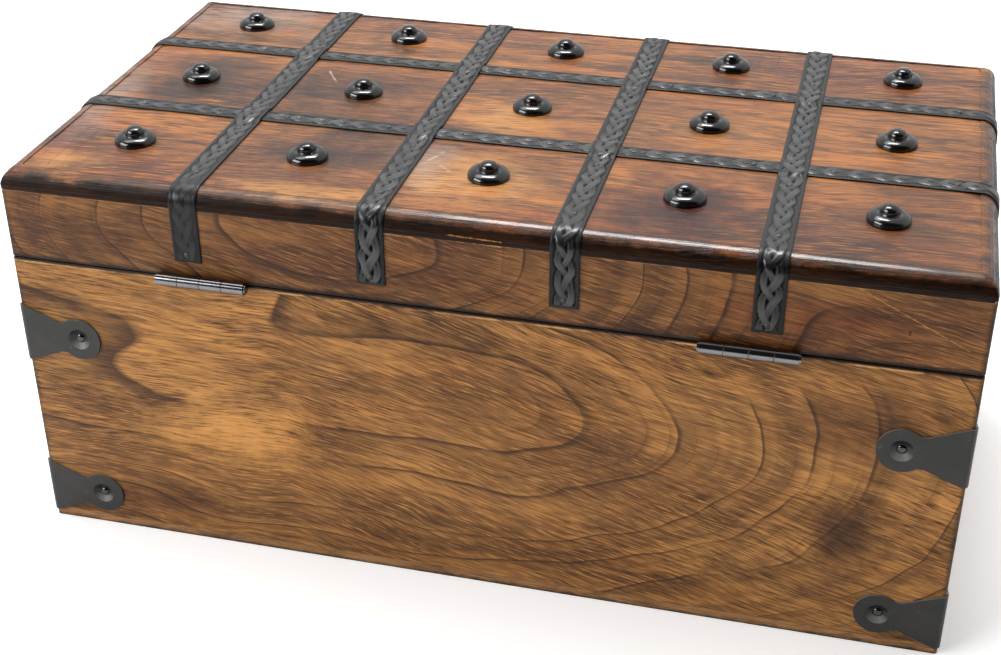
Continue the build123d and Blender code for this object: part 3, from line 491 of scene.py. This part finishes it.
# Pressed iron strip, black lacquer: glossy on the crests of the plait and dull in its grooves; the grooves are painted
# darker as shade, and the crests and the faces that look up are painted paler, painted light and partly dust
def strapMaterial():
    material = emptyMaterial("blackLacquerPressedIron")
    place = addNode(material, "TexCoord", give="Object")
    crest = addNode(material, "Attribute", attribute_name="relief", give="Fac")
    cloudy = addNode(material, "TexNoise", {"Vector": place, "Scale": 45, "Detail": 5, "Roughness": 0.65})
    grain = addNode(material, "TexNoise", {"Vector": place, "Scale": 900, "Detail": 2})
    high = addNode(material, "MapRange", {"Value": crest, "From Min": -0.30, "From Max": 0.70})
    # Painted shade and highlight: the grooves nearly black, the crests a little lighter
    colour = addNode(material, "MixRGB", {"Fac": high, "Color1": linear("#010101"), "Color2": linear("#121213")})
    share = addNode(material, "MapRange", {"Value": cloudy, "From Min": 0.45, "From Max": 0.66, "To Max": 0.5})
    colour = addNode(material, "MixRGB", {"Fac": share, "Color1": colour, "Color2": linear("#1d1e1f")})
    # Painted light, partly dust: crests on faces that look up are painted a paler grey
    upward = facingUp(material)
    upwardLightAndDust = addNode(material, "MapRange", {"Value": upward, "From Min": 0.5, "From Max": 0.95, "To Max": 1.0})
    paintedLightShare = addNode(material, "Math", {0: high, 1: 0.85, 2: 0.22}, operation="MULTIPLY_ADD", use_clamp=True)
    upwardLightAndDust = addNode(material, "Math", {0: upwardLightAndDust, 1: paintedLightShare}, operation="MULTIPLY")
    colour = addNode(material, "MixRGB", {"Fac": upwardLightAndDust, "Color1": colour, "Color2": linear("#434344")})
    dull = addNode(material, "Math", {0: cloudy, 1: 0.3, 2: 0.28}, operation="MULTIPLY_ADD")
    dull = addNode(material, "Math", {0: high, 1: -0.2, 2: dull}, operation="MULTIPLY_ADD")
    shine = addNode(material, "Math", {0: high, 1: 0.55, 2: 0.02}, operation="MULTIPLY_ADD")
    bump = addNode(material, "Bump", {"Height": grain, "Strength": 0.3, "Distance": 0.00008})
    return finishSurface(material, {
        "Base Color": colour, "Roughness": dull, "Normal": bump, "IOR": 1.5, "Specular IOR Level": shine})


# The last number of each lacquered iron sets how much faces that point up are painted paler and faces that point down
# painted black: painted light and shade, partly dust
metals = {
    "strap": strapMaterial(),
    "bracket": lacqueredIron("darkLacquerSheetIron", "#232322", "#2e2c2b", 0.40, 0.2, 0.24, 0.0, 0.6),
    "stud": lacqueredIron("blackLacquerPressedDome", "#050506", "#0b0b0c", 0.15, 0.05, 0.5, 0.3, 0.0),
    "nail": lacqueredIron("blackenedNailIron", "#1a1918", "#2c2a28", 0.40, 0.30, 0.3, 0.0, 0.2),
    "hinge": nickelSteel("nickelPlatedSteel", "#706f71", "#5a5753", 0.14),
    "screw": nickelSteel("zincPlatedScrewSteel", "#a7a39c", "#7f7a72", 0.3),
    "dowel": dowelMaterial(),
}
print("metal materials made")

# The first of these words that a node's name holds gives its material
wordLooks = {
    "bracket_nails": metals["stud"], "nails": metals["nail"], "screws": metals["screw"], "dowels": metals["dowel"],
    "studs": metals["stud"], "hasp_pin": metals["screw"], "hinge": metals["hinge"], "bracket": metals["bracket"],
    "hasp": metals["bracket"], "staple": metals["bracket"], "strap": metals["strap"], "bottom": woods["bottom"],
    "lid_top": woods["lidTop"], "lid_back": woods["lidBack"], "lid_front": woods["lidFront"], "lid": woods["lidEnd"],
    "base_back": woods["baseBack"], "base_front": woods["baseFront"], "base": woods["baseEnd"],
}
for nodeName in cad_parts:
    material = next(look for word, look in wordLooks.items() if word in nodeName)
    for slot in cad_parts[nodeName].material_slots:
        slot.material = material
print("materials on", len(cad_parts), "nodes")


def clearSelection():
    bpy.ops.object.select_all(action="DESELECT")


def pickOnly(piece):
    clearSelection()
    piece.select_set(True)
    bpy.context.view_layer.objects.active = piece


def pieceName(node):
    # corner_bracket_lower_back_left becomes cornerBracketLowerBackLeft
    first, *others = node.split("_")
    return first + "".join(word.capitalize() for word in others)


def settle(piece, node, body, material):
    # The finished piece: name, place in its mesh, material and body, and the CAD node it stands for is hidden
    piece.name = pieceName(node)
    pickOnly(piece)
    bpy.ops.object.transform_apply(location=True, rotation=True, scale=True)
    piece.data.materials.clear()
    piece.data.materials.append(material)
    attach(piece, body)
    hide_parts(node)


def selectEdges(piece, test):
    bpy.ops.mesh.select_mode(type="EDGE")
    mesh = bmesh.from_edit_mesh(piece.data)
    for edge in mesh.edges:
        edge.select_set(bool(test((edge.verts[0].co + edge.verts[1].co) / 2, edge)))
    mesh.select_flush_mode()
    bmesh.update_edit_mesh(piece.data)


# Top board: one plank, its edge planed round and worn a little hollow in places
topBoard = {
    "length": 368.0, "depth": 200.0, "low": 155.0, "high": 162.0,
    "rounding": 6.4, "corner": 1.3, "slice": 5.0,
    "wear": 0.6, "wearSize": 11.0,  # mm: depth of the hollows and their size
    "rim": 12.0, "rimFade": 6.0,  # mm: how far in the hollows go, and over how much they fade
}


def looseCopy(node):
    # A copy of a CAD node's mesh, its triangles joined up and its flat faces made whole
    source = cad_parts[node]
    piece = bpy.data.objects.new(pieceName(node), source.data.copy())
    bpy.context.collection.objects.link(piece)
    piece.matrix_world = source.matrix_world.copy()
    pickOnly(piece)
    bpy.ops.object.mode_set(mode="EDIT")
    bpy.ops.mesh.select_all(action="SELECT")
    bpy.ops.mesh.remove_doubles(threshold=0.000005)
    bpy.ops.mesh.dissolve_limited(angle_limit=math.radians(0.5))
    bpy.ops.object.mode_set(mode="OBJECT")
    return piece


def makeTopBoard(board):
    clearSelection()
    thick = board["high"] - board["low"]
    bpy.ops.mesh.primitive_cube_add(size=1, location=(0, 0, (board["low"] + thick / 2) * mm))
    piece = bpy.context.object
    piece.scale = (board["length"] * mm, board["depth"] * mm, thick * mm)
    bpy.ops.object.transform_apply(location=True, rotation=False, scale=True)
    bpy.ops.object.mode_set(mode="EDIT")
    selectEdges(piece, lambda centre, edge: all(vertex.co.z > (board["high"] - 0.01) * mm for vertex in edge.verts))
    bpy.ops.mesh.bevel(offset=board["rounding"] * mm, segments=7, affect="EDGES")
    selectEdges(piece, lambda centre, edge: all(
        abs((board["length"] / 2 * mm - abs(vertex.co.x)) - (board["depth"] / 2 * mm - abs(vertex.co.y))) < 0.00002
        for vertex in edge.verts))
    bpy.ops.mesh.bevel(offset=board["corner"] * mm, segments=2, affect="EDGES")
    for axis, half in ((0, board["length"] / 2), (1, board["depth"] / 2)):
        count = round(2 * half / board["slice"])
        for i in range(1, count):
            cut, across = [0.0, 0.0, 0.0], [0.0, 0.0, 0.0]
            cut[axis] = (-half + 2 * half * i / count) * mm
            across[axis] = 1.0
            bpy.ops.mesh.select_all(action="SELECT")
            bpy.ops.mesh.bisect(plane_co=cut, plane_no=across)
    bpy.ops.object.mode_set(mode="OBJECT")
    rim = piece.vertex_groups.new(name="rim")
    for vertex in piece.data.vertices:
        inward = min(board["length"] / 2 - abs(vertex.co.x / mm), board["depth"] / 2 - abs(vertex.co.y / mm))
        if inward < board["rim"] and vertex.co.z > (board["low"] + 0.3) * mm:
            rim.add([vertex.index], min(1.0, (board["rim"] - inward) / board["rimFade"]), "REPLACE")
    wear = bpy.data.textures.new("rimWear", "CLOUDS")
    wear.noise_scale = board["wearSize"] * mm
    wear.noise_depth = 3
    hollow = piece.modifiers.new("rimWear", "DISPLACE")
    hollow.texture = wear
    hollow.texture_coords = "LOCAL"
    hollow.mid_level = 1.0
    hollow.strength = board["wear"] * mm
    hollow.vertex_group = "rim"
    pickOnly(piece)
    bpy.ops.object.modifier_apply(modifier="rimWear")
    bpy.ops.object.shade_smooth_by_angle(angle=math.radians(35))
    settle(piece, "lid_top_board", "lid", woods["lidTop"])


makeTopBoard(topBoard)
print("top board made")


# Straps: iron strip pressed between rolls with a three-strand plait, bent over the lid and nailed
strap = {
    "start": 132.5, "shoulder": 155.5, "rounding": 6.5, "top": 162.0,  # mm: the path over the lid
    "crossAt": [-108.9, -36.3, 36.3, 108.9], "crossWidth": 11.0,
    "longAt": [28.0, -41.0], "longWidth": 9.5,
    "thickness": 0.68, "edge": 0.3, "overlap": 0.8, "ramp": 4.5,
    "relief": 0.62,  # mm that a strand stands up at its highest
    "stray": (2.6, 1.0),  # mm that the strands stray along and across the strip
    "overUnder": (0.62, 0.38),  # mean height of a strand, and its rise and fall over and under its neighbours
    "groove": 0.45,  # depth between the strands
    "sag": 0.10, "roundedEdge": 0.16,  # mm
    # Strands, length of one turn in mm, and swing and half a strand as shares of the width
    "crossPlait": (3, 27.0, 0.24, 0.12), "longPlait": (2, 17.0, 0.20, 0.15),
    "flatter": 0.85, "flatFrom": 30.0,  # the plait on top, pressed flatter in the bending jig
    "wornRoll": 0.3, "wornTo": 36.0,  # the plait at the back of the strap that was pressed with a worn roll
    "step": 0.5, "stepAcross": 0.42,  # mm between the mesh's rows and columns
}


def pathLengths(half):
    # Along the path in mm: the upright part, one bend, and all of it from end to end
    straight = strap["shoulder"] - strap["start"]
    bend = strap["rounding"] * math.pi / 2
    return straight, bend, 2 * (straight + bend) + 2 * (half - strap["rounding"])


def pathPoint(half, s, rise):
    # A point of the strip s mm along the path and rise mm off the wood: distance out from the middle, and height
    straight, bend, total = pathLengths(half)
    side = 1
    if s > total / 2:
        s, side = total - s, -1
    if s < straight:
        return side * (half + rise), strap["start"] + s
    if s < straight + bend:
        turn = (s - straight) / strap["rounding"]
        radius = strap["rounding"] + rise
        return side * (half - strap["rounding"] + radius * math.cos(turn)), strap["shoulder"] + radius * math.sin(turn)
    return side * (half - strap["rounding"] - (s - straight - bend)), strap["top"] + rise


def plaitHeight(s, v, width, seed, plait):
    # Height of the plait at s along the strip and v across it: 1 on a strand, below 0 in the grooves beside it
    s += strap["stray"][0] * noise.noise(Vector((s * 0.11, v * 0.12, seed)))
    v += strap["stray"][1] * noise.noise(Vector((s * 0.10, v * 0.1, seed + 7)))
    best, groove = 0.0, 0.0
    count, pitch, swing, strand = plait
    swing *= width
    for k in range(count):
        angle = 2 * math.pi * (s / pitch + k / count)
        slope = swing * 2 * math.pi / pitch * math.cos(angle)
        off = abs(v - swing * math.sin(angle)) / math.sqrt(1 + slope * slope)
        reach = off / (strand * width)
        over = strap["overUnder"][0] + strap["overUnder"][1] * math.sin(2 * angle)
        if reach < 1:
            body = math.sqrt(1 - reach * reach) * over - 0.28 * math.exp(-(off / 0.28) ** 2)
            best = max(best, body)
        groove = max(groove, math.exp(-((reach - 1.15) / 0.3) ** 2))
    return best if best > 0.05 else -strap["groove"] * groove


def makeStrap(node, axis, place, half, width, seed, faint):
    total = pathLengths(half)[2]
    rows = round(total / strap["step"])
    topSteps = round(width / strap["stepAcross"])
    # The section's outline: over the top, then back along the bottom
    outline = [(-width / 2, -0.15), (-width / 2, strap["thickness"] - strap["edge"])]
    outline += [(-width / 2 + 0.1 + (width - 0.2) * i / topSteps, None) for i in range(topSteps + 1)]
    outline += [(width / 2, strap["thickness"] - strap["edge"]), (width / 2, -0.15), (-width / 2, -0.15)]
    clearSelection()
    bpy.ops.mesh.primitive_grid_add(x_subdivisions=rows, y_subdivisions=len(outline) - 1, size=1)
    piece = bpy.context.object
    crest = piece.data.attributes.new("relief", "FLOAT", "POINT")
    for vertex in piece.data.vertices:
        s = (vertex.co.x + 0.5) * total
        v, rise = outline[round((vertex.co.y + 0.5) * (len(outline) - 1))]
        level = 0.0
        if rise is None:
            inner = min(width / 2 - abs(v), s, total - s)
            plait = plaitHeight(s, v, width, seed, strap["crossPlait" if axis == "y" else "longPlait"])
            plait *= min(1, max(0, (inner - 0.9) / 0.7))
            worn = 0.72 + 0.5 * noise.noise(Vector((s * 0.035, v * 0.1, seed)))
            depth = strap["flatter"] if strap["flatFrom"] < s < total - strap["flatFrom"] else 1.0
            level = plait * min(1.0, worn) * depth * (faint if s < strap["wornTo"] else 1.0)
            sag = strap["sag"] * noise.noise(Vector((s * 0.05, v * 0.2, seed + 3)))
            rounding = strap["roundedEdge"] * max(0, 1 - inner / 0.5) ** 2
            rise = strap["thickness"] + sag - rounding + strap["relief"] * level * (1 if level > 0 else 0.6)
        out, height = pathPoint(half, s, rise)
        if axis == "y":
            # Cross straps ride over the long ones
            lift = 0.0
            for crossing in strap["longAt"]:
                clear = abs(out - crossing) - strap["longWidth"] / 2
                part = min(1, max(0, 1 - clear / strap["ramp"]))
                lift = max(lift, strap["overlap"] * part * part * (3 - 2 * part))
            if height > strap["top"] - 1:
                height += lift
            vertex.co = Vector((place - v, out, height)) * mm
        else:
            vertex.co = Vector((out, place + v, height)) * mm
        crest.data[vertex.index].value = level
    bpy.ops.object.mode_set(mode="EDIT")
    bpy.ops.mesh.select_all(action="SELECT")
    bpy.ops.mesh.remove_doubles(threshold=0.00001)
    bpy.ops.mesh.select_all(action="DESELECT")
    bpy.ops.mesh.select_non_manifold()
    bpy.ops.mesh.fill()
    bpy.ops.mesh.select_all(action="SELECT")
    bpy.ops.mesh.normals_make_consistent(inside=False)
    bpy.ops.object.mode_set(mode="OBJECT")
    bpy.ops.object.shade_smooth_by_angle(angle=math.radians(50))
    settle(piece, node, "lid", metals["strap"])


for number, across in enumerate(strap["crossAt"], 1):
    # The one at the left end was pressed with a worn roll at its back
    faint = strap["wornRoll"] if number == 4 else 1.0
    makeStrap(f"cross_strap_{number}", "y", across, 100.0, strap["crossWidth"], 10.0 * number, faint)
for side, along in zip(("front", "back"), sorted(strap["longAt"])):
    seed = 5.0 if side == "back" else 66.0
    makeStrap(f"long_strap_{side}", "x", along, 184.0, strap["longWidth"], seed, 1.0)
print("straps made")


# Studs: pressed black domes with a rolled rim and a button on top
stud = {
    "columns": [-145.2, -72.6, 0.0, 72.6, 145.2], "rows": [62.0, -5.0, -69.5],
    # Radius and height in mm: the wall, the dome, the groove and the button
    "profile": [(8.0, -0.6), (8.05, 0.5), (8.0, 1.2), (7.75, 1.85), (7.3, 2.4), (6.6, 2.85), (5.8, 3.15), (5.0, 3.32),
                (4.5, 3.32), (4.1, 3.1), (3.85, 3.0), (3.65, 3.15), (3.6, 3.7), (3.55, 4.3), (3.35, 5.0), (2.85, 5.62),
                (2.1, 6.02), (1.1, 6.25), (0.4, 6.3)],
    # Studs that were driven off their mark by hand: place, and how far off
    "hand": {(72.6, 62.0): (1.0, -0.6), (145.2, 62.0): (-1.2, 0.8), (0.0, 62.0): (1.4, -0.8),
             (-145.2, 62.0): (-0.6, 0.5)},
    "sides": 40, "tilt": 2.5, "stray": 0.6,
}


def makeStuds(settings):
    clearSelection()
    start = settings["profile"][0]
    bpy.ops.mesh.primitive_circle_add(
        vertices=settings["sides"], radius=start[0] * mm, fill_type="NGON", location=(0, 0, 0))
    model = bpy.context.object
    model.name = "studModel"
    bpy.ops.object.mode_set(mode="EDIT")
    selectEdges(model, lambda centre, edge: True)
    for (radius, height), (wider, higher) in zip(settings["profile"], settings["profile"][1:]):
        bpy.ops.mesh.extrude_edges_move(TRANSFORM_OT_translate={"value": (0, 0, (higher - height) * mm)})
        bpy.ops.transform.resize(value=(wider / radius, wider / radius, 1), center_override=(0, 0, 0))
    bpy.ops.mesh.fill()
    bpy.ops.mesh.select_all(action="SELECT")
    bpy.ops.mesh.normals_make_consistent(inside=False)
    bpy.ops.transform.translate(value=(0, 0, start[1] * mm))
    bpy.ops.object.mode_set(mode="OBJECT")
    pickOnly(model)
    bpy.ops.object.shade_smooth()
    chance = random.Random(15)
    copies = []
    for x in settings["columns"]:
        for y in settings["rows"]:
            copy = model.copy()
            copy.data = model.data.copy()
            bpy.context.collection.objects.link(copy)
            away, aside = settings["hand"].get((x, y), (0.0, 0.0))
            copy.location = Vector((x + away + chance.uniform(-0.5, 0.5) * settings["stray"],
                                    y + aside + chance.uniform(-0.5, 0.5) * settings["stray"], 162.0)) * mm
            tilt = math.radians(settings["tilt"])
            copy.rotation_euler = Euler((
                chance.uniform(-tilt, tilt), chance.uniform(-tilt, tilt), chance.uniform(0, 6.28)))
            copies.append(copy)
    bpy.data.objects.remove(model)
    clearSelection()
    for copy in copies:
        copy.select_set(True)
    bpy.context.view_layer.objects.active = copies[0]
    bpy.ops.object.join()
    settle(bpy.context.object, "dome_studs", "lid", metals["stud"])


makeStuds(stud)
print("studs made")


# Fittings: the sheet and turned parts with their edges eased, as the real ones are from tumbling
eased = {
    "bracket": 0.22, "knuckle": 0.35, "hasp": 0.2,  # mm
    "dish": {"circles": (4.5, 2.2), "heights": (15.5, 91.0), "reach": 24.0, "soft": 1.0},
}


def roundDishes(piece, dish):
    # The pressed dishes of a bracket: the mouth and the floor circle of each are drawn into one soft bowl
    bpy.ops.object.mode_set(mode="EDIT")

    def onDish(centre, edge):
        first, last = (vertex.co / mm for vertex in edge.verts)
        for axis, across, half, side in ((0, 1, 184, 100), (1, 0, 100, 184)):
            onFace = abs(first[axis] - last[axis]) < 0.01 and abs(centre[axis]) / mm > half - 1
            for height in dish["heights"]:
                radius = math.hypot(abs(first[across]) - side + dish["reach"], first.z - height)
                if onFace and any(abs(radius - circle) < 0.1 for circle in dish["circles"]):
                    return True
        return False

    selectEdges(piece, onDish)
    bpy.ops.mesh.bevel(offset=dish["soft"] * mm, segments=4, affect="EDGES", clamp_overlap=True)
    bpy.ops.object.mode_set(mode="OBJECT")


def easedCopy(node, body, material, width):
    piece = looseCopy(node)
    if node.startswith("corner_bracket"):
        roundDishes(piece, eased["dish"])
    ease = piece.modifiers.new("ease", "BEVEL")
    ease.width = width * mm
    ease.segments = 2
    ease.limit_method = "ANGLE"
    ease.angle_limit = math.radians(40)
    bpy.ops.object.modifier_apply(modifier="ease")
    bpy.ops.object.shade_smooth_by_angle(angle=math.radians(35))
    # The wide faces stay flat in the light, and only the eased edges turn
    flats = piece.modifiers.new("flats", "WEIGHTED_NORMAL")
    flats.keep_sharp = True
    bpy.ops.object.modifier_apply(modifier="flats")
    settle(piece, node, body, material)


for level in ("lower", "upper"):
    for depth in ("back", "front"):
        for side in ("left", "right"):
            easedCopy(f"corner_bracket_{level}_{depth}_{side}", "base", metals["bracket"],
                      eased["bracket"])
for side in ("left", "right"):
    for body in ("base", "lid"):
        easedCopy(f"hinge_{side}_{body}_leaf", body, metals["hinge"], eased["knuckle"])
for node, body in (("hasp_strap", "hasp"), ("hasp_leaf", "lid"), ("staple_plate", "base")):
    easedCopy(node, body, metals["bracket"], eased["hasp"])
print("fittings eased")


# Plain pale floor, bright surroundings, two soft boxes and a narrow one along the lid
studio = {
    "floorSize": 40.0, "floorTone": "#f4f4f4", "floorGlow": 0.3,
    "skyFar": 0.85, "skyNear": 0.04,
    "overhead": {"place": (0.42, -0.38, 1.5), "size": (1.4, 0.6), "power": 11.0},
    "strip": {"place": (0.10, -0.44, 1.5), "size": (0.62, 0.22), "power": 14.0, "turn": (16, 0, 0)},
    "front": {"place": (1.15, 0.95, 0.85), "size": (1.1, 0.8), "power": 26.0},
}


def makeStudio(settings):
    clearSelection()
    bpy.ops.mesh.primitive_plane_add(size=settings["floorSize"], location=(0, 0, -0.0002))
    floor = bpy.context.object
    floor.name = "studioFloor"
    paper = emptyMaterial("matWhitePaper")
    place = addNode(paper, "TexCoord", give="Object")
    tooth = addNode(paper, "TexNoise", {"Vector": place, "Scale": 900, "Detail": 2})
    bump = addNode(paper, "Bump", {"Height": tooth, "Strength": 0.1, "Distance": 0.0002})
    finishSurface(paper, {
        "Base Color": linear(settings["floorTone"]), "Roughness": 0.9, "Normal": bump,
        "Emission Color": (1, 1, 1, 1), "Emission Strength": settings["floorGlow"]})
    floor.data.materials.append(paper)

    world = bpy.data.worlds.new("whiteRoom")
    bpy.context.scene.world = world
    world.use_nodes = True
    world.node_tree.nodes.clear()
    direction = addNode(world, "TexCoord", give="Generated")
    toCamera = addNode(world, "SeparateXYZ", {0: direction}, give=1)
    level = addNode(world, "MapRange", {
        "Value": toCamera, "From Min": -0.05, "From Max": 0.35,
        "To Min": settings["skyFar"], "To Max": settings["skyNear"]})
    sky = addNode(world, "Background", {"Color": (1, 1, 1, 1), "Strength": level})
    addNode(world, "OutputWorld", {"Surface": sky})

    for name in ("overhead", "strip", "front"):
        lamp = settings[name]
        data = bpy.data.lights.new(name + "Softbox", "AREA")
        data.shape = "RECTANGLE"
        data.size, data.size_y = lamp["size"]
        data.energy = lamp["power"]
        light = bpy.data.objects.new(name + "Softbox", data)
        bpy.context.collection.objects.link(light)
        aim = Vector((0, 0, 0.1)) - Vector(lamp["place"])
        light.location = lamp["place"]
        if "turn" in lamp:
            light.rotation_euler = [math.radians(angle) for angle in lamp["turn"]]
        else:
            light.rotation_euler = aim.to_track_quat("-Z", "Y").to_euler()
    bpy.context.scene.view_settings.view_transform = "Standard"


makeStudio(studio)
print("studio lit")
